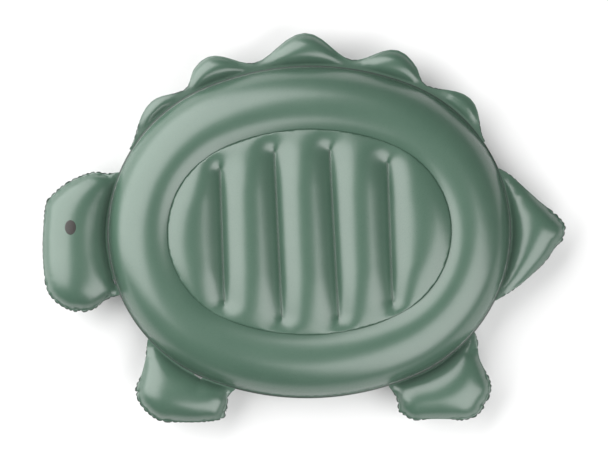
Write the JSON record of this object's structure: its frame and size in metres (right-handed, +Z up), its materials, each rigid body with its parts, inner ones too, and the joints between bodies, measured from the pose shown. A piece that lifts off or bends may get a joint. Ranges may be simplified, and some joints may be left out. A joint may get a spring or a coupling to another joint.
{
  "type": "inflatable pool float",
  "caption": "Flat inflatable pool float shaped as a dinosaur: an oval ring tube, a channelled mattress, a spiked crest, head, tail and feet, and recessed valves.",
  "frame": {"origin": "on the floor below the centre of the ring's oval", "axes": "+X from head to tail, +Y towards the spiked crest, +Z up"},
  "size_m": [1.408, 1.0517, 0.19],
  "materials": {
    "film": "satin flexible vinyl film",
    "inner_film": "satin flexible vinyl film",
    "eye_print": "satin printed ink",
    "valve": "soft milky vinyl",
    "valve_plug": "soft milky vinyl"
  },
  "bodies": {
    "float": {"ring_top_panel": "film", "ring_bottom_panel": "film", "mattress_top_panel": "film", "mattress_bottom_panel": "film", "mattress_baffle_1": "inner_film", "mattress_baffle_2": "inner_film", "mattress_baffle_3": "inner_film", "mattress_baffle_4": "inner_film", "spikes_top_panel": "film", "spikes_bottom_panel": "film", "ring_valve_base": "valve", "ring_valve_skirt": "valve", "mattress_valve_base": "valve", "mattress_valve_skirt": "valve"},
    "head": {"head_top_panel": "film", "head_bottom_panel": "film", "eye": "eye_print"},
    "tail": {"tail_top_panel": "film", "tail_bottom_panel": "film"},
    "front_foot": {"front_foot_top_panel": "film", "front_foot_bottom_panel": "film"},
    "rear_foot": {"rear_foot_top_panel": "film", "rear_foot_bottom_panel": "film"},
    "ring_stem": {"ring_valve_stem": "valve"},
    "ring_plug": {"ring_valve_plug": "valve_plug"},
    "ring_flap": {"ring_valve_flap": "valve"},
    "mattress_stem": {"mattress_valve_stem": "valve"},
    "mattress_plug": {"mattress_valve_plug": "valve_plug"},
    "mattress_flap": {"mattress_valve_flap": "valve"}
  },
  "joints": [
    {"name": "head_flex", "type": "hinge", "parent": "float", "child": "head", "pos_m": [-0.52824, 0.00713, 0.093], "axis": [0.0175, 0.9998, 0], "range_deg": [-20, 20], "stiffness_Nm_per_rad": 4},
    {"name": "tail_flex", "type": "hinge", "parent": "float", "child": "tail", "pos_m": [0.52483, -0.01909, 0.093], "axis": [-0.0471, -0.9989, 0], "range_deg": [-20, 20], "stiffness_Nm_per_rad": 4},
    {"name": "front_foot_flex", "type": "hinge", "parent": "float", "child": "front_foot", "pos_m": [-0.33153, -0.35626, 0.093], "axis": [-0.8599, 0.5105, 0], "range_deg": [-20, 20], "stiffness_Nm_per_rad": 4},
    {"name": "rear_foot_flex", "type": "hinge", "parent": "float", "child": "rear_foot", "pos_m": [0.33301, -0.35592, 0.093], "axis": [-0.8581, -0.5135, 0], "range_deg": [-20, 20], "stiffness_Nm_per_rad": 4},
    {"name": "ring_stem_slide", "type": "slide", "parent": "float", "child": "ring_stem", "axis": [0, -0.788, -0.6157], "range_m": [0, 0.012], "deforming": ["ring_valve_skirt"]},
    {"name": "ring_plug_swing", "type": "hinge", "parent": "ring_stem", "child": "ring_plug", "pos_m": [0.014, -0.42073, 0.04068], "axis": [0, -0.6157, 0.788], "range_deg": [0, 120]},
    {"name": "ring_flap_swing", "type": "hinge", "parent": "ring_stem", "child": "ring_flap", "pos_m": [0.0067, -0.40442, 0.05342], "axis": [0, 0.6157, -0.788], "range_deg": [0, 60], "stiffness_Nm_per_rad": 0.001},
    {"name": "mattress_stem_slide", "type": "slide", "parent": "float", "child": "mattress_stem", "axis": [0, 0, -1], "range_m": [0, 0.012], "deforming": ["mattress_valve_skirt"]},
    {"name": "mattress_plug_swing", "type": "hinge", "parent": "mattress_stem", "child": "mattress_plug", "pos_m": [0.005, -0.149, 0.0224], "axis": [0, -1, 0], "range_deg": [0, 120]},
    {"name": "mattress_flap_swing", "type": "hinge", "parent": "mattress_stem", "child": "mattress_flap", "pos_m": [-0.0023, -0.149, 0.0431], "axis": [0, 1, 0], "range_deg": [0, 60], "stiffness_Nm_per_rad": 0.001}
  ]
}
